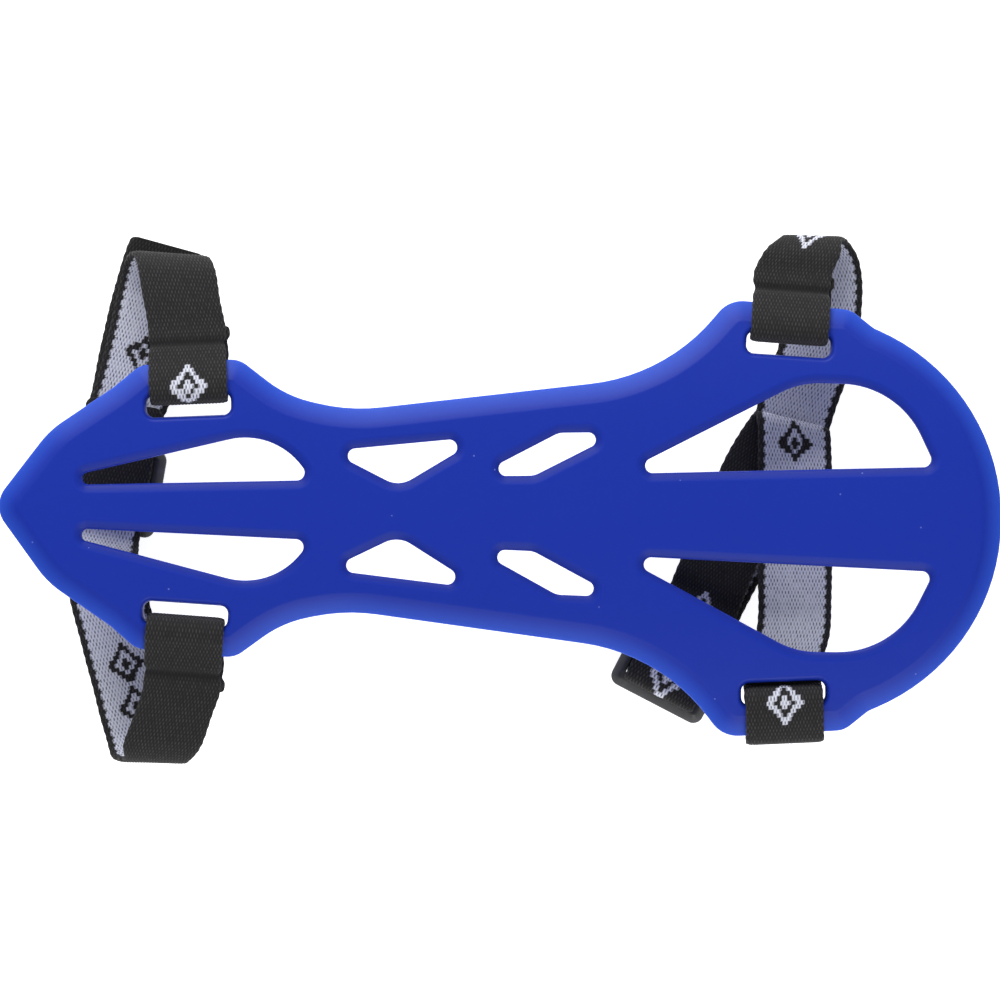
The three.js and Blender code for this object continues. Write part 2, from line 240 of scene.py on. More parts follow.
# %% Corners of the outline: u, v, rounding, drop on the lower half
HALF_OUTLINE = [
    (95.4, 25.8, 38.8, 0.2),  # round wide end
    (70.9, 36.2, 4, 0.7),
    (66.4, 39.7, 4.5, 1),  # wide lug
    (43.2, 41.3, 6, 1),
    (31.1, 26.6, 36, 0),  # flare from the waist to the lug
    (-29, 18.9, 35, 0.2),  # waist
    (-41, 21.6, 22, 0),
    (-50.2, 28.5, 5, 0),  # wrist lug
    (-69, 27, 4.5, 0),
    (-74, 22.7, 6, 0),
    (-86, 14.3, 18, 0.3),
]
NOSE = (-96.7, -0.1, 5.5, 0)


def mirrored(corners):
    """The same corners on the other side of the centre line, still anticlockwise."""
    return [(u, -v - drop, rounding, 0) for u, v, rounding, drop in reversed(corners)]


OUTLINE = [*HALF_OUTLINE, NOSE, *mirrored(HALF_OUTLINE)]
print("corners in the outline:", len(OUTLINE))

# %% Corners of the vents and slots: u, v, rounding
HALF_VENTS = [
    [(-79.4, 4.1, 1.1), (-35.8, 5.6, 1.5), (-43.3, 15.2, 13.5), (-79.6, 6.2, 1)],  # wing
    [(-19.3, 4.6, 5), (-3.4, 14.4, 1.5), (-32.6, 11.2, 1.4)],  # triangle
    [(-4.8, 6.8, 1.4), (6.4, 7.1, 4), (22.6, 15.6, 1.4), (11, 15.3, 4)],  # slant
    [(22.8, 7.7, 1.4), (82.8, 9.9, 1.5), (75.4, 25.3, 17), (56.9, 25.6, 16)],  # crescent
]
HALF_SLOTS = [
    [(-67.5, 17, 1.5), (-51.5, 17.9, 1.5), (-51.7, 22.1, 1.5), (-67.7, 21.2, 1.5)],  # wrist
    [(46.5, 31.2, 1.5), (62.5, 30.3, 1.5), (62.7, 34.5, 1.5), (46.7, 35.4, 1.5)],  # wide end
]
VENT_DROP = 0.2
SLOT_DROP = 0.8


def both_sides(halves, drop):
    """Each hole with its mirror image, dropped on the lower half."""
    holes = [[(*corner, drop) for corner in half] for half in halves]
    return [side for hole in holes for side in (hole, mirrored(hole))]


VENTS = both_sides(HALF_VENTS, VENT_DROP)
SLOTS = both_sides(HALF_SLOTS, SLOT_DROP)
print("holes through the plate:", len(VENTS), "vents and", len(SLOTS), "slots")

# %% A ring of points round rounded corners
ARC_STEP = math.radians(4)
SMALLEST_ROUNDING = 1.0


def rounded_ring(corners, inset):
    """Points round an anticlockwise outline, moved inwards: as many points at any inset."""
    sharp = [complex(u, v) for u, v, *_ in corners]
    sides = [(b - a) / abs(b - a) for a, b in zip(sharp, sharp[1:] + sharp[:1])]
    ring = []
    for i, (u, v, rounding, _) in enumerate(corners):
        before, after = sides[i - 1], sides[i]
        turn = cmath.phase(after / before)
        side = math.copysign(1, turn)
        radius = max(rounding - side * inset, SMALLEST_ROUNDING)
        mitre = inset / (1 + (after / before).real)
        centre = complex(u, v) + 1j * mitre * (before + after)
        centre += before * radius * (1j * side - math.tan(abs(turn) / 2))
        spoke = -1j * before * side * radius
        steps = max(1, round(abs(turn) / ARC_STEP))
        ring += [centre + spoke * cmath.exp(1j * turn * k / steps) for k in range(steps + 1)]
    return ring


print("points in the outer ring:", len(rounded_ring(OUTLINE, 0)))

# %% [markdown]
# ## The plate's walls
#
# The outer rim has a short upright edge and then a wide slope up to the face, softly rounded where they
# meet, because a mould's edges are never sharp. Each vent dips into a wide soft lip, and each slot has a
# narrow one. Bevelling all those edges with the bevel operator would run into the tight corners of the
# lugs. A grid with one side laid round the outline and the other up the profile gives the same slope
# with no crossing. Each wall also notes how far its points lie under the face, as an attribute with a
# name of its own for the rim and for the lips, so that the finish can tell the two apart.

# %% Profiles of the rim and of a hole's lip: inset, height over the plate's back
PLATE_THICKNESS = 3.0
RIM_PROFILE = [
    (0.6, 0.0), (0.3, 0.05), (0.1, 0.17), (0.0, 0.4), (0.0, 1.15), (0.07, 1.36), (0.25, 1.5),
    (0.6, 1.67), (1.4, 2.02), (2.3, 2.42), (3.0, 2.71), (3.35, 2.84), (3.65, 2.93), (3.85, 2.98),
    (4.0, PLATE_THICKNESS),
]
VENT_LIP = [
    (-0.35, 0.0), (-0.1, 0.08), (0.0, 0.3), (0.0, 1.8), (-0.06, 2.12), (-0.22, 2.34), (-0.5, 2.52),
    (-0.9, 2.7), (-1.3, 2.85), (-1.6, 2.95), (-1.85, PLATE_THICKNESS),
]
SLOT_LIP = [
    (-0.35, 0.0), (-0.1, 0.08), (0.0, 0.3), (-0.04, 1.2), (-0.12, 1.9), (-0.25, 2.4),
    (-0.45, 2.74), (-0.7, 2.93), (-1.0, PLATE_THICKNESS),
]


def wall(name, corners, profile, note):
    """A wall round an outline, a row of the grid for each row of the profile, with its depth noted."""
    rings = [(rounded_ring(corners, inset), height) for inset, height in profile]
    made = laid_grid(name, [[(p.real, p.imag, z) for p in ring + ring[:1]] for ring, z in rings])
    depth = PLATE_THICKNESS - points_of(made)[:, 2]
    made.data.attributes.new(note, "FLOAT", "POINT").data.foreach_set("value", depth)
    return made


walls = [wall("guard_plate_dressed", OUTLINE, RIM_PROFILE, "rim_depth")]
walls += [wall("lip", vent, VENT_LIP, "lip_depth") for vent in VENTS]
walls += [wall("lip", slot, SLOT_LIP, "lip_depth") for slot in SLOTS]
plate = join_pieces("guard_plate_dressed", walls)
print("triangles in the walls:", count_of(plate))

# %% [markdown]
# ## The plate's faces
#
# The front and the back are flat sheets with twelve holes. The fill operator does just that: given the
# closed loops at one height, it fills between them and leaves the holes open. Bisecting the plate into
# narrow rows then gives the faces the cuts that they need to bend.

# %% Fill the back and the front
SEAM_WELD = 0.001


def fill_level(piece, height):
    """Fill between the closed loops at one height."""
    only(piece)
    level = np.abs(points_of(piece)[:, 2] - height) < SEAM_WELD
    bpy.ops.object.mode_set(mode="EDIT")
    bpy.ops.mesh.select_mode(type="VERT")
    bpy.ops.mesh.select_all(action="DESELECT")
    bpy.ops.object.mode_set(mode="OBJECT")
    piece.data.vertices.foreach_set("select", level)
    bpy.ops.object.mode_set(mode="EDIT")
    bpy.ops.mesh.select_mode(type="EDGE")
    bpy.ops.mesh.fill(use_beauty=True)
    bpy.ops.object.mode_set(mode="OBJECT")


only(plate)
bpy.ops.object.mode_set(mode="EDIT")
bpy.ops.mesh.select_all(action="SELECT")
bpy.ops.mesh.remove_doubles(threshold=SEAM_WELD)
bpy.ops.object.mode_set(mode="OBJECT")
for height in (0.0, PLATE_THICKNESS):
    fill_level(plate, height)
print("triangles with faces filled:", count_of(plate))

# %% Cut it in rows
ROW_WIDTH = 2.2


def turn_outwards():
    """In edit mode turn every face outwards, then go back to object mode."""
    bpy.ops.mesh.select_all(action="SELECT")
    bpy.ops.mesh.normals_make_consistent(inside=False)
    bpy.ops.object.mode_set(mode="OBJECT")


half_width = max(abs(v) for u, v, *_ in OUTLINE)
rows = np.arange(-half_width + ROW_WIDTH / 2, half_width, ROW_WIDTH)
bpy.ops.object.mode_set(mode="EDIT")
for level in rows:
    bpy.ops.mesh.select_all(action="SELECT")
    bpy.ops.mesh.bisect(plane_co=(0, level, 0), plane_no=(0, 1, 0))
turn_outwards()
print("rows cut:", len(rows))

# %% [markdown]
# ## The arch
#
# Worn, the plate wraps the arm, and lying down it keeps a gentle arch across. The bend modifier would
# need an axis object and turns the ends as well. Here each point drops by a parabola of its distance
# from the centre line, which is the arch that the measured plate has. Filling leaves long thin
# triangles, and smooth shading shows them as streaks where they meet the lips. The arch's own normal is
# known, so the points of the two faces are given it, and the walls keep their automatic ones.

# %% Arch the plate and smooth it
ARCH_RADIUS = 150
SMOOTH_ANGLE = math.radians(40)

flat = points_of(plate)
arched = flat + [0, 0, CROWN_HEIGHT - PLATE_THICKNESS]
arched[:, 2] -= flat[:, 1] ** 2 / (2 * ARCH_RADIUS)
move_points(plate, to_frame(arched))
only(plate)
bpy.ops.object.shade_smooth_by_angle(angle=SMOOTH_ANGLE)
facing = (flat[:, 2] > PLATE_THICKNESS - SEAM_WELD).astype(float) - (flat[:, 2] < SEAM_WELD)
face_normals = np.stack([0 * facing, flat[:, 1] / ARCH_RADIUS, 0 * facing + 1], axis=1)
face_normals /= np.linalg.norm(face_normals, axis=1, keepdims=True)
plate.data.normals_split_custom_set_from_vertices(face_normals * facing[:, None])
print("plate", [round(side / MM, 1) for side in plate.dimensions], "mm,", count_of(plate), "triangles")

# %% [markdown]
# ## The plate's finish
#
# It is a soft royal-blue plastic, coloured all through, with a satin skin: broad soft highlights, some
# light carried inside, a rim painted paler as a painted highlight where it slopes, lips painted darker as
# painted shade, and specks of lint that such plastic picks up. Image maps could paint this, but every part
# of it is a simple rule, so nodes do it and it stays sharp in any view.

# %% Start a finish
def new_finish(name):
    """A new material: itself, its node tree and its shader."""
    material = bpy.data.materials.new(name)
    material.use_nodes = True
    tree = material.node_tree
    return material, tree, tree.nodes["Principled BSDF"]


def add_node(tree, kind, inputs=None, **settings):
    """A node with its settings, and its input values by name or number."""
    made = tree.nodes.new(kind)
    for name, value in settings.items():
        setattr(made, name, value)
    for socket, value in (inputs or {}).items():
        if isinstance(value, bpy.types.NodeSocket):
            tree.links.new(value, made.inputs[socket])
        else:
            made.inputs[socket].default_value = value
    return made


print("finishes can be started")


# %% Mix colours and values
def colour_mix(tree, factor, first, second):
    """The colour between two colours, each a value or another node's output."""
    mix = add_node(tree, "ShaderNodeMix", {0: factor, 6: first, 7: second}, data_type="RGBA")
    return mix.outputs[2]


def calculated(tree, operation, first, second=0.0):
    """One step of arithmetic on values or other nodes' outputs."""
    step = add_node(tree, "ShaderNodeMath", {0: first, 1: second}, operation=operation)
    return step.outputs[0]


def noise(tree, place, scale, detail):
    """A soft noise between 0 and 1, with so many grains in a metre."""
    made = add_node(tree, "ShaderNodeTexNoise", {"Vector": place, "Scale": scale, "Detail": detail})
    return made.outputs["Fac"]


def noted(tree, note):
    """The value that a mesh notes under a name."""
    return add_node(tree, "ShaderNodeAttribute", attribute_name=note).outputs["Fac"]


def ramp(tree, value, low, high):
    """0 up to a low value, 1 from a high one on, and even between them."""
    return add_node(tree, "ShaderNodeMapRange", {0: value, 1: low, 2: high}).outputs[0]


print("colours can be mixed")

# %% Roughen a finish and put it on
GRAIN_HEIGHT = 0.0001  # metres


def roughened(tree, shader, height, strength):
    """Give a shader the relief of a height between 0 and 1."""
    inputs = {"Height": height, "Strength": strength, "Distance": GRAIN_HEIGHT}
    bump = add_node(tree, "ShaderNodeBump", inputs)
    tree.links.new(bump.outputs["Normal"], shader.inputs["Normal"])


def coat(piece, material):
    """Give a piece one material alone."""
    piece.data.materials.clear()
    piece.data.materials.append(material)


print("grain of", GRAIN_HEIGHT / MM, "mm")

# %% Blue moulded plastic
FACE_BLUE = (0.0080, 0.0285, 0.338, 1)
DEEP_BLUE = (0.0070, 0.0265, 0.316, 1)
# Painted highlight: the sloping rim is painted this paler blue, as the light that its bevel catches.
RIM_HIGHLIGHT_BLUE = (0.023, 0.086, 0.550, 1)
# Painted shade: the lips round the vents and slots are painted this darker blue.
LIP_SHADE_BLUE = (0.0065, 0.022, 0.265, 1)
LINT = (0.11, 0.15, 0.50, 1)
LINT_CELLS = 260  # cells of lint in a metre
LINT_SIZE = 0.045  # share of a cell
LINT_KEPT = 0.62  # only the cells with a higher random value hold a speck
RIM_DEPTH = (0.2, 2.0)  # from where to where under the face the rim turns paler, in millimetres
LIP_DEPTH = (0.0, 0.55)  # and the lips darker
PAINTED_SHADING = [("rim_depth", RIM_DEPTH, RIM_HIGHLIGHT_BLUE), ("lip_depth", LIP_DEPTH, LIP_SHADE_BLUE)]

plastic, tree, shader = new_finish("blue_moulded_plastic")
place = add_node(tree, "ShaderNodeTexCoord").outputs["Object"]
body = colour_mix(tree, noise(tree, place, scale=30, detail=3), DEEP_BLUE, FACE_BLUE)
# Painted light and shade: the rim is painted paler and the lips round the holes darker, by how deep under
# the face each point lies.
for note, depths, painted_shading_blue in PAINTED_SHADING:
    body = colour_mix(tree, ramp(tree, noted(tree, note), *depths), body, painted_shading_blue)
cells = add_node(tree, "ShaderNodeTexVoronoi", {"Vector": place, "Scale": LINT_CELLS})
near = calculated(tree, "LESS_THAN", cells.outputs["Distance"], LINT_SIZE)
chosen = add_node(tree, "ShaderNodeSeparateColor", {0: cells.outputs["Color"]}).outputs["Red"]
speck = calculated(tree, "MULTIPLY", near, calculated(tree, "GREATER_THAN", chosen, LINT_KEPT))
body = colour_mix(tree, speck, body, LINT)
tree.links.new(body, shader.inputs["Base Color"])
print("blues from", DEEP_BLUE[:3], "to", RIM_HIGHLIGHT_BLUE[:3])

# %% Its satin skin
roughened(tree, shader, noise(tree, place, scale=1600, detail=2), strength=0.12)
shader.inputs["Roughness"].default_value = 0.46
shader.inputs["Specular IOR Level"].default_value = 0.14
shader.inputs["Subsurface Weight"].default_value = 0.2
shader.inputs["Subsurface Radius"].default_value = (0.15, 0.35, 1.0)
shader.inputs["Subsurface Scale"].default_value = 0.0015
coat(plate, plastic)
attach(plate, "root")
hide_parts("guard_plate")
print("plate finished as", plastic.name)

# %% [markdown]
# ## The routes of the bands
#
# Each strap is two elastic bands, one sewn at each side of the plate, joined by a slider. A band is a
# flat tape that can only bend along its length, so its whole shape is the line that its middle follows
# and the direction of its width. The rows below are the stations of the measured bands: place, height
# and the plan angle of the width. Some are moved by up to 2 mm, because soft tape never lies quite as
# measured. A curve object with a bevel would twist where the tape turns upright, so the line is
# smoothed here and a grid is laid along it.

# %% Where the bands are sewn and the sliders lie
BAND_WIDTH = 14.8
BAND_THICKNESS = 1.3
GAP = 0.3
SLIDER_THICKNESS = 2.2
SEWN = {
    "wrist_upper": dict(u=-59.6, v=21.65, heading=93.3, rim=6, seam=3.6),
    "wrist_lower": dict(u=-59.6, v=-22.45, heading=-93.3, rim=5.2, seam=4),
    "forearm_upper": dict(u=54.7, v=34.95, heading=86.7, rim=5.9, seam=2.4),
    "forearm_lower": dict(u=54.75, v=-35.75, heading=-86.7, rim=6.1, seam=2.4),
}
SLIDERS = {
    "wrist": dict(u=-75.1, v=3.7, heading=80.9, base=3.2),
    "forearm": dict(u=33.8, v=-28.85, heading=63.4, base=1.6),
}
LIFT = (PLATE_THICKNESS + BAND_THICKNESS) / 2 + GAP  # from the plate's middle to a band's on it
LAYER = BAND_THICKNESS + GAP  # from one layer of band to the next
ON_FLOOR = BAND_THICKNESS / 2
SECOND_LAYER = ON_FLOOR + LAYER
print("bands lie", LAYER, "mm apart")


# %% Stations along a heading and round a slot's rim
def along(place, rows):
    """Stations along one heading from a place: a row is the distance along it and the height."""
    angle = math.radians(place["heading"])
    turn = place["heading"] - math.copysign(90, place["heading"])
    u_step, v_step = math.cos(angle), math.sin(angle)
    return [(place["u"] + a * u_step, place["v"] + a * v_step, z, turn) for a, z in rows]


def along_rim(place, rows):
    """Stations that follow the plate at a slot: the distance out from it and the lift."""
    outward = math.sin(math.radians(place["heading"]))
    middle = CROWN_HEIGHT - PLATE_THICKNESS / 2
    lifts = [(a, middle - (place["v"] + a * outward) ** 2 / (2 * ARCH_RADIUS) + lift) for a, lift in rows]
    return along(place, lifts)


def sewn_loop(place):
    """The end under the rim, up through the slot, over the rim and out to the seam."""
    rim, seam = place["rim"], place["rim"] + place["seam"]
    return along_rim(place, [
        (seam + 3.2, -2.1), (seam, -1.75), (rim + 0.4, -LIFT), (3, -LIFT), (0.6, -LIFT - 0.1),
        (-0.9, -2.4), (-1.4, -1.2), (-1.1, 0.2), (-0.5, 1.7), (0.7, LIFT), (2.4, LIFT),
        (rim - 1.4, 1.8), (rim + 0.6, 0.95), (seam, -0.05), (seam + 3.2, -0.4),
    ])


SEAM_STATIONS = (1, 13)  # the two layers of a sewn loop that the seam joins
print("a sewn loop has", len(sewn_loop(SEWN["wrist_upper"])), "stations")


# %% The wrapped lower end and a slider's loop
def wrapped_loop(place):
    """Up round the outer edge, over the rim and down the slot to the hidden sewn end."""
    rim = place["rim"]
    return along_rim(place, [
        (-5, -LIFT - LAYER), (-1, -LIFT - LAYER + 0.1), (1.5, -3.4), (4, -2.8), (rim + 0.1, -2.5),
        (rim + 0.85, -1.7), (rim + 1, -0.5), (rim + 0.7, 0.75),
        (rim - 0.7, 1.65), (2.6, LIFT), (0.4, LIFT + 0.1), (-1.5, LIFT), (-2.6, 1.3), (-3, 0),
        (-3.1, -1.3), (-3.55, -2.25), (-5, -LIFT - 0.1), (-8.5, -LIFT),
    ])


def bar_loop(place, back):
    """Under a slider, up through a window and back over it: back is where the band turns."""
    under = place["base"] - GAP - BAND_THICKNESS / 2
    over = place["base"] + SLIDER_THICKNESS + GAP + BAND_THICKNESS / 2
    return along(place, [
        (14, under), (9.5, under), (back + 2.2, under), (back + 1, under + 0.1), (back + 0.2, under + 0.9),
        (back, (under + over) / 2), (back + 0.2, over - 0.9), (back + 1, over - 0.1), (back + 2.2, over),
        (8.8, over - 0.05), (10.8, under + LAYER + 1.15), (13, under + LAYER + 0.1), (16.5, under + LAYER),
    ])


END_BAR_TURN = 4.8  # where a band turns up beside the sewn end's bar
MIDDLE_BAR_TURN = -2.1  # and beside the middle bar
print("a bar loop has", len(bar_loop(SLIDERS["wrist"], MIDDLE_BAR_TURN)), "stations")

# %% The four routes: u, v, height, angle of the width
ROUTES = {
    "wrist_strap_upper": [
        *sewn_loop(SEWN["wrist_upper"]),
        (-61.6, 40.6, 13.9, -1), (-62.6, 45.8, 12.1, -2), (-63.9, 48.2, 9.0, -3), (-65.1, 47.1, 6.2, -7),
        (-66.0, 44.9, 4.1, -11), (-66.7, 42.0, 2.75, -14), (-67.4, 38.5, SECOND_LAYER, -15),
        (-71.3, 21.5, SECOND_LAYER, -13),
        *bar_loop(SLIDERS["wrist"], MIDDLE_BAR_TURN),
    ],
    "wrist_strap_lower": [
        *sewn_loop(SEWN["wrist_lower"]),
        (-61.8, -39.5, 14.2, -2), (-63.9, -45.2, 12.2, -3), (-65.7, -48.4, 8.6, -2),
        (-66.8, -47.7, 4.4, 4), (-68.0, -43.9, 1.4, 10), (-69.6, -38.3, ON_FLOOR, 13.5),
        (-75.5, -17.0, ON_FLOOR, 9), (-76.9, -11.2, ON_FLOOR, 0),
        *along(SLIDERS["wrist"], [
            (-12.5, 1.3), (-11.1, 3.4), (-10, 5.4), (-8.5, 6.6), (-6.3, 6.6), (-4.85, 5.8), (-4.35, 4.2),
            (-4.15, 2.6), (-3.5, 1.2), (-1.9, ON_FLOOR), (2, ON_FLOOR), (9, ON_FLOOR),
        ]),
        (-72.2, 19.8, ON_FLOOR, -12), (-69.0, 36.0, ON_FLOOR, -13.5), (-67.0, 44.0, ON_FLOOR, -14),
        (-64.8, 50.6, ON_FLOOR, -14.5),
    ],
    "forearm_strap_upper": [
        *sewn_loop(SEWN["forearm_upper"]),
        (57.2, 50.6, 10.6, -3), (58.6, 53.4, 7.6, -1), (60.0, 52.8, 4.1, 0), (61.3, 49.4, 1.5, 1),
        (62.0, 43.0, ON_FLOOR, 0), (60.7, 32.0, ON_FLOOR, -9), (57.8, 24.0, ON_FLOOR, -18),
        (55.1, 15.0, ON_FLOOR, -24), (47.8, -1.5, ON_FLOOR, -26),
        *bar_loop(SLIDERS["forearm"], END_BAR_TURN),
    ],
    "forearm_strap_lower": [
        *along(SLIDERS["forearm"], [
            (2.4, 4.15), (2.6, 2.7), (2.2, 1.2), (1.2, ON_FLOOR), (-0.6, ON_FLOOR), (-2.5, 0.8),
            (-4.0, 1.8), (-4.5, 3.3), (-5.0, 4.5), (-5.7, 4.95), (-6.2, 5.55), (-5.6, 6.15), (-4.2, 6.1),
            (-2.6, 5.75), (-0.3, 5.55), (2.2, 5.6), (5.0, 6.25), (7.4, 6.5), (9.8, 6.3),
        ]),
        (38.9, -17.9, 5.0, -26), (39.7, -15.8, 4.0, -25), (40.7, -13.1, 3.85, -24), (41.8, -10.4, 3.0, -24),
        (43.0, -7.4, SECOND_LAYER, -24), (48.5, 5.6, SECOND_LAYER, -25), (52.5, 13.3, 2.3, -24),
        (54.8, 16.9, 2.7, -20), (55.8, 18.3, 4.0, -13), (56.3, 17.1, 5.3, -7),
        (56.5, 13.0, 5.9, -2), (56.7, 2.0, 7.0, 0), (56.8, -12.0, 8.6, 0), (56.5, -22.0, 11.2, 1),
        *wrapped_loop(SEWN["forearm_lower"]),
    ],
}
print("stations:", {name: len(route) for name, route in ROUTES.items()})

# %% [markdown]
# ## A smooth line through the stations
#
# A centripetal Catmull-Rom curve passes through every station and never loops between two close ones,
# so it suits the tight turns round a bar. It is then divided into equal short steps, a quarter of a
# knitted row each, because the stitches have to keep their size all along the tape.

# %% The curve between two stations
def curve_between(points, gaps, t):
    """The curve between the middle two of four points, at shares t of the way."""
    p0, p1, p2, p3 = points
    d0, d1, d2 = gaps
    leave = ((p1 - p0) / d0 - (p2 - p0) / (d0 + d1) + (p2 - p1) / d1) * d1
    arrive = ((p2 - p1) / d1 - (p3 - p1) / (d1 + d2) + (p3 - p2) / d2) * d1
    square = 3 * (p2 - p1) - 2 * leave - arrive
    cube = 2 * (p1 - p2) + leave + arrive
    return p1 + t * leave + t**2 * square + t**3 * cube


print("a straight line stays straight:", curve_between(np.arange(4.0), np.ones(3), 0.5))

# %% Smooth a route
ROW_PITCH = 0.78  # one knitted row along the band
STEPS_PER_ROW = 4
CURVE_STEPS = 40  # points between two stations before the line is divided evenly


def smooth_line(route):
    """Even steps along a route: length, middle, width direction, normal, and each station's length."""
    rows = np.array(route, float)
    points, turns = rows[:, :3], rows[:, 3]
    chain = np.vstack([2 * points[0] - points[1], points, 2 * points[-1] - points[-2]])
    gaps = np.sqrt(np.linalg.norm(np.diff(chain, axis=0), axis=1))
    t = np.arange(CURVE_STEPS)[:, None] / CURVE_STEPS
    spans = [curve_between(chain[i:i + 4], gaps[i:i + 3], t) for i in range(len(points) - 1)]
    fine = np.vstack([*spans, points[-1:]])
    lengths = np.append(0, np.cumsum(np.linalg.norm(np.diff(fine, axis=0), axis=1)))
    steps = round(lengths[-1] / ROW_PITCH * STEPS_PER_ROW)
    s = np.linspace(0, lengths[-1], steps + 1)
    middle = np.stack([np.interp(s, lengths, fine[:, axis]) for axis in range(3)], axis=1)
    middle[:, 2] = np.maximum(middle[:, 2], ON_FLOOR)
    angle = np.radians(np.interp(s, lengths[::CURVE_STEPS], turns))
    across = np.stack([np.cos(angle), np.sin(angle), np.zeros(len(s))], axis=1)
    normal = np.cross(np.gradient(middle, axis=0), across)
    normal /= np.linalg.norm(normal, axis=1, keepdims=True)
    return dict(s=s, middle=middle, across=across, normal=normal, stations=lengths[::CURVE_STEPS])


LINES = {name: smooth_line(route) for name, route in ROUTES.items()}
print("band lengths in mm:", {name: round(line["s"][-1], 1) for name, line in LINES.items()})

# %% [markdown]
# ## The knit
#
# The elastic is knitted in two colours: black outside, pale grey inside, with black selvages that meet the
# grey in scallops. Where a woven figure shows, the two yarns swap faces, and the end of the free tail is
# black on both. Each stitch is a small bump that shows its thread's colour, with a painted highlight on the
# black crests, and the pits between stitches are painted dark as painted shade, which on the grey face also
# stands for the black back yarn. Bump mapping alone would leave the tape's edge smooth, so the stitches are
# real relief. Each point also notes its yarn, how much a seam presses it, which also sets the painted shade
# in the seam's crease, and its row and column. The figure here is a plain chain of diamonds, stepped as
# knitting steps it.

# %% Where each yarn shows
COLUMNS = 23  # knitted columns across the band
COLUMN_PITCH = BAND_WIDTH / COLUMNS
SELVAGE = 1.15
TOOTH = 0.55  # depth of the scallops in which the grey meets the selvage
TOOTH_PITCH = 2.5 * ROW_PITCH  # from one scallop to the next
FIGURE_LENGTH = 4.0  # half of a diamond along the band
FIGURE_WIDTH = 3.6  # and across it
FIGURE_RING = (0.28, 0.6)  # the ring inside a diamond that keeps its yarn, as shares of the way out


def in_figure(s, w, places):
    """Whether a stitch belongs to one of the woven diamonds."""
    s = np.round(s / ROW_PITCH) * ROW_PITCH
    w = np.round(w / COLUMN_PITCH) * COLUMN_PITCH
    from_diamond = np.min([np.abs(s - place) for place in places], axis=0)
    reach = from_diamond / FIGURE_LENGTH + np.abs(w) / FIGURE_WIDTH
    in_ring = (reach > FIGURE_RING[0]) & (reach < FIGURE_RING[1])
    return (reach < 1) & ~in_ring


def pale_yarn(s, w, inner, places, grey_end):
    """1 where the grey yarn shows, 0 where the black one does."""
    tooth = (1 - np.abs(np.sin(np.pi * s / TOOTH_PITCH))) * TOOTH
    inside = (np.abs(w) < BAND_WIDTH / 2 - SELVAGE - tooth) & (s < grey_end)
    figure = in_figure(s, w, places)
    return np.where(inner, inside & ~figure, inside & figure)


print("a stitch is", ROW_PITCH, "by", round(COLUMN_PITCH, 2), "mm")

# %% How a band's edges run
EDGE_RIB = 0.05  # how far the edge stands out at each scallop
EDGE_SWAY = 0.03  # how unevenly the edge runs
SWAY_LENGTHS = (3.1, 1.7)  # of two waves that seldom fall in step
SWAY_START = 2  # of the second wave
SEAM_DRAW = 0.35  # how much narrower the band is drawn at its seam
END_ROUNDING = 1.3  # the cut ends are sealed with heat, which rounds their corners
FULL_WIDTH_ENDS = 30  # a stretched band keeps its width this far from its ends
DRAW_LENGTH = 10
TUCK_LENGTH = 3  # the edges are pulled in at a crest over about this length


def edge_shift(s, crease):
    """How far the band's edge stands out or in along its length, and its round corners at both ends."""
    sway = np.sin(s / SWAY_LENGTHS[0]) + np.sin(s / SWAY_LENGTHS[1] + SWAY_START)
    short = np.maximum(END_ROUNDING - np.minimum(s, s[-1] - s), 0)
    corner = END_ROUNDING - np.sqrt(END_ROUNDING**2 - short**2)
    return EDGE_RIB * np.cos(2 * np.pi * s / TOOTH_PITCH) + EDGE_SWAY * sway - SEAM_DRAW * crease - corner


def pulled_in(s, share, stations, draw, tucks):
    """How far stretching and the crests pull the edges in: tucks are a station, its left and its right."""
    pulled = draw * np.clip((np.minimum(s, s[-1] - s) - FULL_WIDTH_ENDS) / DRAW_LENGTH, 0, 1)
    for station, left, right in tucks:
        crest = np.exp(-(((s - stations[station]) / TUCK_LENGTH) ** 2))
        pulled = pulled + crest * np.where(share < 0, left, right)
    return pulled


print("an edge sways by up to", 2 * EDGE_SWAY, "mm")


# %% Note the knit on the mesh
def note_knit(band, notes, s, w):
    """Note values on a band's points, and their knitted rows and columns as a UV map."""
    for note, values in notes.items():
        column = band.data.attributes.new(note, "FLOAT", "POINT")
        column.data.foreach_set("value", values.astype(float).ravel())
    knit = np.stack(np.broadcast_arrays(s / ROW_PITCH, w / COLUMN_PITCH), axis=-1).reshape(-1, 2)
    corners = np.empty(len(band.data.loops), int)
    band.data.loops.foreach_get("vertex_index", corners)
    band.data.uv_layers.active.name = "knit"
    band.data.uv_layers["knit"].data.foreach_set("uv", knit[corners].ravel())


print("rows and columns are noted in the map knit")

# %% Lay one band
RELIEF = 0.07  # how far a stitch stands out, and as far as the pits lie under it
EDGE_SHARPNESS = 16  # the power by which a band thins only near its edges
EDGE_THINNING = 0.55
CREASE_WIDTH = 0.95
CREASE_DEPTH = 0.4  # how far a seam presses the black face
PINCH_DEPTH = 0.15  # and the whole band towards the other layer
END_DRIFT = 0.9  # how far a sewn end peeks out sideways from under its seam
DRIFT_LENGTH = 9


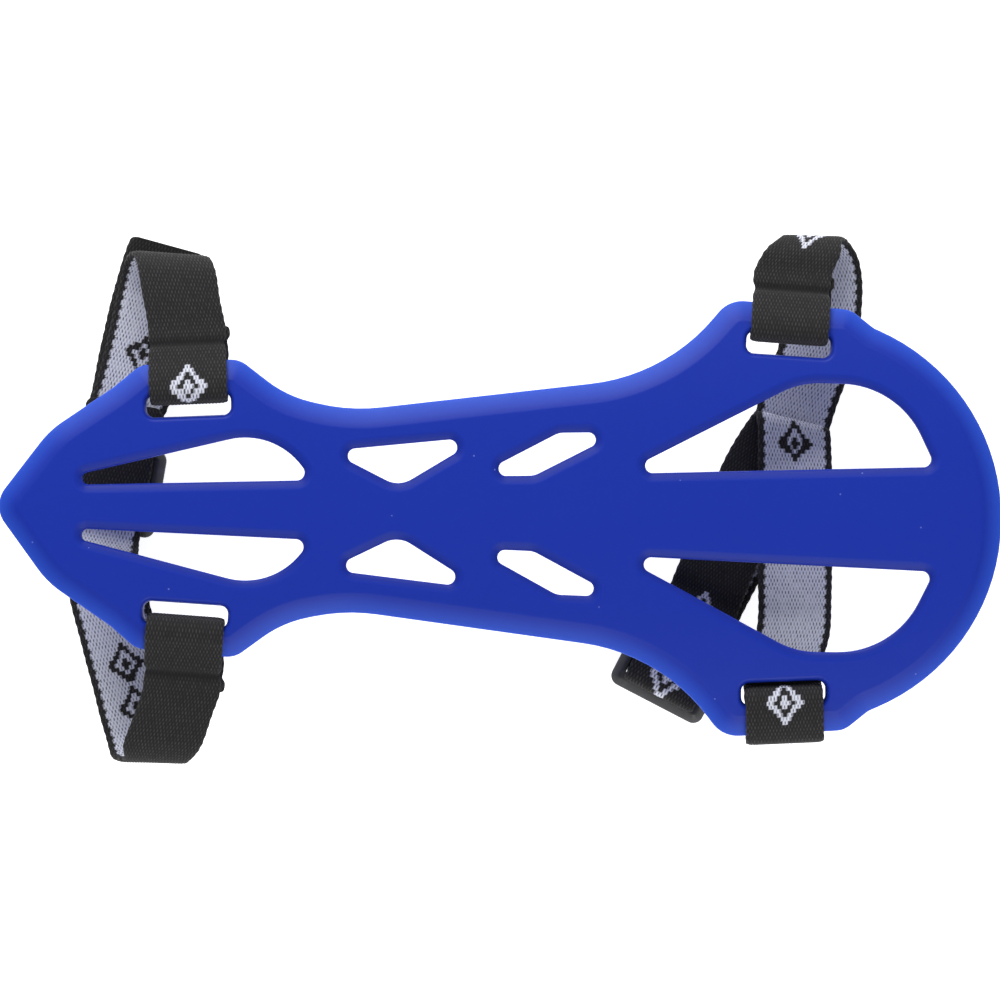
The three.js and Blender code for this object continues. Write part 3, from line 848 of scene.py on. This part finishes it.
def laid_band(name, line, grey_side, figures, seams, black_end, draw, tucks):
    """A knitted band along a line: one face of the section, then back along the other."""
    share = np.linspace(-1, 1, 2 * COLUMNS + 1)
    share = np.concatenate([share, share[::-1], [-1]])
    side = np.repeat([-1, 1, -1], [2 * COLUMNS + 1, 2 * COLUMNS + 1, 1])
    w = share * BAND_WIDTH / 2
    s = line["s"][:, None]
    pale = pale_yarn(s, w, side == grey_side, figures, s[-1] - black_end)
    stitch = np.cos(np.pi * s / ROW_PITCH) * np.cos(2 * np.pi * w / COLUMN_PITCH)
    crease = sum((np.exp(-(((s - seam) / CREASE_WIDTH) ** 2)) for seam in seams), 0 * s + 0 * w)
    half = BAND_THICKNESS / 2 * (1 - EDGE_THINNING * np.abs(share) ** EDGE_SHARPNESS)
    pressed = CREASE_DEPTH * crease * (side != grey_side)
    lift = side * (half + RELIEF * (stitch - 1) - pressed) + grey_side * PINCH_DEPTH * crease
    drift = END_DRIFT * np.clip(1 - s / DRIFT_LENGTH, 0, 1) * bool(seams)
    pulled = pulled_in(s, share, line["stations"], draw, tucks)
    reach = w + share * (edge_shift(s, crease) - pulled) + drift
    points = line["middle"][:, None] + line["across"][:, None] * reach[..., None]
    points = points + line["normal"][:, None] * lift[..., None]
    band = laid_grid(name, to_frame(points))
    note_knit(band, dict(pale=pale, crease=crease), s, w)
    return band


print("relief of a stitch:", 2 * RELIEF, "mm")

# %% [markdown]
# ## Closing the bands
#
# The laid grid is a sleeve that is open along one selvage and at both ends. Merging the doubled column
# closes the selvage, and filling the two end loops makes the cut ends. Then the faces are turned to
# point outwards and shaded smooth.

# %% Make the four bands
# Each row is the side of the normal that the grey face is on, the diamonds' places and the seams, then
# how much of the end is black on both faces, how far stretching draws the edges in, and the stations
# at a crest with how far the left and right edges are tucked in there.
BANDS = {
    "wrist_strap_upper": dict(grey_side=1, figures=(20.5, 72), sewn=True),
    "wrist_strap_lower": dict(
        grey_side=-1, figures=(64, 72.7), sewn=True, black_end=8, tucks=[(17, 1.6, 0.8)],
    ),
    "forearm_strap_upper": dict(
        grey_side=1, figures=(40.5,), sewn=True, tucks=[(16, 2, 0.9), (17, 0, 0.8)],
    ),
    "forearm_strap_lower": dict(grey_side=1, figures=(17.7, 32.7, 79.3, 148.2), sewn=False, draw=0.35),
}
WELD = 1e-6  # metres


def closed_band(name, grey_side, figures, sewn, black_end=0, draw=0, tucks=()):
    """A band with its selvage merged and its cut ends filled."""
    line = LINES[name]
    seams = [line["stations"][i] for i in SEAM_STATIONS] if sewn else []
    band = laid_band(name + "_knit", line, grey_side, figures, seams, black_end, draw, tucks)
    only(band)
    bpy.ops.object.mode_set(mode="EDIT")
    bpy.ops.mesh.select_all(action="SELECT")
    bpy.ops.mesh.remove_doubles(threshold=WELD)
    bpy.ops.mesh.select_all(action="DESELECT")
    bpy.ops.mesh.select_non_manifold(
        use_wire=False, use_multi_face=False, use_non_contiguous=False, use_verts=False
    )
    bpy.ops.mesh.fill(use_beauty=True)
    turn_outwards()
    bpy.ops.object.shade_smooth()
    print(name, count_of(band), "triangles")
    return band


bands = {name: closed_band(name, **facts) for name, facts in BANDS.items()}

# %% [markdown]
# ## The knit's finish
#
# Yarn is rough and a little fuzzy, so it has a soft sheen at grazing angles. The rows and columns noted on
# the mesh say where each stitch rises: raised black threads are painted lighter, a painted highlight, and
# pits are painted dark, a painted shade, which between grey stitches also stands for the black back yarn.
# Chance and a fine noise keep two stitches from being the same. The other notes say which yarn shows and
# where a seam is, whose crease is painted dark as painted shade.

# %% Stitches from the rows and columns
LEAST_STITCH = 0.45  # a stitch rises by this and, by chance, by up to 1 more
FUZZ = 0.9  # how rough each stitch is

elastic, tree, shader = new_finish("knitted_elastic")
place = add_node(tree, "ShaderNodeTexCoord").outputs["Object"]
lattice = add_node(tree, "ShaderNodeUVMap", uv_map="knit").outputs["UV"]
lattice = add_node(tree, "ShaderNodeSeparateXYZ", {0: lattice})
row, column = lattice.outputs["X"], lattice.outputs["Y"]
row_wave = calculated(tree, "COSINE", calculated(tree, "MULTIPLY", row, math.pi))
column_wave = calculated(tree, "COSINE", calculated(tree, "MULTIPLY", column, 2 * math.pi))
stitch = calculated(tree, "MULTIPLY", row_wave, column_wave)
row_number = calculated(tree, "FLOOR", calculated(tree, "ADD", row, 0.5))
column_number = calculated(tree, "ROUND", calculated(tree, "MULTIPLY", column, 2.0))
number = add_node(tree, "ShaderNodeCombineXYZ", {0: row_number, 1: column_number}).outputs[0]
chance = add_node(tree, "ShaderNodeTexWhiteNoise", {"Vector": number}, noise_dimensions="2D")
rise = calculated(tree, "ADD", chance.outputs["Value"], LEAST_STITCH)
stitch = calculated(tree, "MULTIPLY", stitch, rise)
fuzz = calculated(tree, "SUBTRACT", noise(tree, place, scale=2600, detail=3), 0.5)
thread = calculated(tree, "ADD", stitch, calculated(tree, "MULTIPLY", fuzz, FUZZ))
print("stitches vary from", LEAST_STITCH, "to", LEAST_STITCH + 1)

# %% Two-coloured knitted elastic
# Painted shade and highlight: each yarn goes from a dark pit colour to a lighter crest colour with the
# height of its thread. The pits are painted shade, the black crests are a painted glint, and the grey pits
# also stand for the black back yarn.
BLACK_PIT_SHADE = (0.010, 0.0095, 0.0105, 1)
BLACK_YARN_AND_GLINT = (0.047, 0.044, 0.044, 1)
GREY_PIT_SHADE_AND_BACK_YARN = (0.12, 0.12, 0.16, 1)
GREY_YARN = (0.64, 0.65, 0.74, 1)
BLACK_RISE = (-0.1, 1.2)  # heights of the thread between which black goes from its pit to its yarn
GREY_RISE = (-1.0, 0.2)  # and grey
SEAM_SHADE = 0.75

black = colour_mix(tree, ramp(tree, thread, *BLACK_RISE), BLACK_PIT_SHADE, BLACK_YARN_AND_GLINT)
grey = colour_mix(tree, ramp(tree, thread, *GREY_RISE), GREY_PIT_SHADE_AND_BACK_YARN, GREY_YARN)
yarn = colour_mix(tree, noted(tree, "pale"), black, grey)
# Painted shade: the seam's crease is painted towards the dark pit colour.
pressed = calculated(tree, "MULTIPLY", noted(tree, "crease"), SEAM_SHADE)
yarn = colour_mix(tree, pressed, yarn, BLACK_PIT_SHADE)
tree.links.new(yarn, shader.inputs["Base Color"])
roughened(tree, shader, thread, strength=0.35)
shader.inputs["Roughness"].default_value = 0.85
shader.inputs["Specular IOR Level"].default_value = 0.25
shader.inputs["Sheen Weight"].default_value = 0.05
shader.inputs["Sheen Roughness"].default_value = 0.5
for name, band in bands.items():
    coat(band, elastic)
    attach(band, "root")
    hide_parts(name)
print("bands finished as", elastic.name)

# %% [markdown]
# ## The sliders
#
# A slider is a flat moulded frame with three bars, which the bands are threaded round to set the
# length. By hand it is a small grid: the lines are slid to the bars and rails, the two windows are
# deleted, the sheet is extruded to its thickness and its edges are bevelled. The outer edge of the
# frame slopes more, as on the real one, where that slope catches the light.

# %% Pick edges or faces by a test
def pick(piece, kind, wanted):
    """In edit mode select the edges or faces whose corners pass a test."""
    bpy.ops.object.mode_set(mode="EDIT")
    bpy.ops.mesh.select_mode(type=kind)
    bpy.ops.mesh.select_all(action="DESELECT")
    bpy.ops.object.mode_set(mode="OBJECT")
    corners = [vertex.co for vertex in piece.data.vertices]
    for part in piece.data.edges if kind == "EDGE" else piece.data.polygons:
        part.select = wanted(*(corners[i] for i in part.vertices))
    bpy.ops.object.mode_set(mode="EDIT")


print("edges and faces can be picked")

# %% Model one slider
SLIDER_WIDTH = 19.6
SLIDER_RAIL = 2.35
BAR_EDGES = [-8.5, -5.5, -1.1, 1.5, 5.9, 8.5]  # the three bars, from the bare end to the sewn end
WINDOWS = [BAR_EDGES[1:3], BAR_EDGES[3:5]]
HALF_WIDTH = SLIDER_WIDTH / 2
HALF_LENGTH = BAR_EDGES[-1]


def is_window(*face):
    """Whether a face of the flat sheet lies between two bars and inside the rails."""
    middle = sum(face, Vector()) / len(face)
    between_bars = any(low < middle.y < high for low, high in WINDOWS)
    return between_bars and abs(middle.x) < HALF_WIDTH - SLIDER_RAIL


def slider_frame(name):
    """A three-bar slider, flat at the plan's origin, its bars across x."""
    rails = [-HALF_WIDTH, SLIDER_RAIL - HALF_WIDTH, HALF_WIDTH - SLIDER_RAIL, HALF_WIDTH]
    slider = laid_grid(name, [[(x, y, 0) for x in rails] for y in BAR_EDGES])
    only(slider)
    pick(slider, "FACE", is_window)
    bpy.ops.mesh.delete(type="FACE")
    bpy.ops.mesh.select_all(action="SELECT")
    bpy.ops.mesh.extrude_region_move(TRANSFORM_OT_translate={"value": (0, 0, SLIDER_THICKNESS)})
    turn_outwards()
    return slider


sliders = {strap: slider_frame(strap + "_slider_moulded") for strap in SLIDERS}
print("a plain slider frame has", count_of(sliders["wrist"]), "triangles")

# %% Round its corners, slope its rim and soften its edges
CORNER_ROUNDING = 2.0
RIM_SLOPE = 1.5
EDGE_ROUNDING = 0.25
SHARP = math.radians(25)
TINY = 0.001


def is_upright_corner(a, b):
    """Whether an edge stands at one of the four outer corners."""
    at_corner = abs(a.x) > HALF_WIDTH - TINY and abs(a.y) > HALF_LENGTH - TINY
    return at_corner and (a - b).xy.length < TINY


def on_rim(corner):
    """Whether a point of the top lies on the outer outline, its round corners included."""
    inside = (HALF_WIDTH - abs(corner.x), HALF_LENGTH - abs(corner.y))
    at_top = corner.z > SLIDER_THICKNESS - TINY
    return at_top and (min(inside) < TINY or max(inside) < CORNER_ROUNDING - TINY)


def soften(slider):
    """Bevel the four corners, then the top rim wide, then every edge that is still sharp."""
    only(slider)
    pick(slider, "EDGE", is_upright_corner)
    bpy.ops.mesh.bevel(offset=CORNER_ROUNDING, segments=6)
    pick(slider, "EDGE", lambda a, b: on_rim(a) and on_rim(b))
    bpy.ops.mesh.bevel(offset=RIM_SLOPE, segments=1)
    bpy.ops.mesh.select_all(action="DESELECT")
    bpy.ops.mesh.edges_select_sharp(sharpness=SHARP)
    bpy.ops.mesh.bevel(offset=EDGE_ROUNDING, segments=3)
    turn_outwards()
    bpy.ops.object.shade_smooth_by_angle(angle=SMOOTH_ANGLE)


for slider in sliders.values():
    soften(slider)
    print(slider.name, count_of(slider), "triangles")


# %% Lay the sliders in their places
def lay_slider(slider, place):
    """Turn a slider to its heading and lay it at its place."""
    x, y, z = points_of(slider).T
    angle = math.radians(place["heading"])
    u = place["u"] + y * math.cos(angle) + x * math.sin(angle)
    v = place["v"] + y * math.sin(angle) - x * math.cos(angle)
    move_points(slider, to_frame(np.stack([u, v, z + place["base"]], axis=1)))


for strap, slider in sliders.items():
    lay_slider(slider, SLIDERS[strap])
    print(slider.name, "at", [round(place / MM, 1) for place in points_of(slider).mean(axis=0)], "mm")

# %% [markdown]
# ## The sliders' finish
#
# Black nylon from a lightly textured mould: nearly black, satin, with a fine grain and slightly paler
# scuffs. One noise drives the grain and another the scuffs.

# %% Black moulded nylon
NYLON = (0.012, 0.012, 0.014, 1)
SCUFFED = (0.030, 0.030, 0.034, 1)
SCUFFS = (0.5, 0.75)  # values of the noise from where to where a scuff turns paler

nylon, tree, shader = new_finish("black_nylon")
place = add_node(tree, "ShaderNodeTexCoord").outputs["Object"]
worn = ramp(tree, noise(tree, place, scale=420, detail=5), *SCUFFS)
tree.links.new(colour_mix(tree, worn, NYLON, SCUFFED), shader.inputs["Base Color"])
roughened(tree, shader, noise(tree, place, scale=3500, detail=2), strength=0.25)
shader.inputs["Roughness"].default_value = 0.45
for strap, slider in sliders.items():
    coat(slider, nylon)
    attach(slider, "root")
    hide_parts(strap + "_slider")
print("sliders finished as", nylon.name)

# %% Write the sizes and finish
dressed_low, dressed_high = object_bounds()
growth = [*(dressed_low - cad_low), *(dressed_high - cad_high)]
print("grown by", [round(step / MM, 2) for step in growth], "mm")
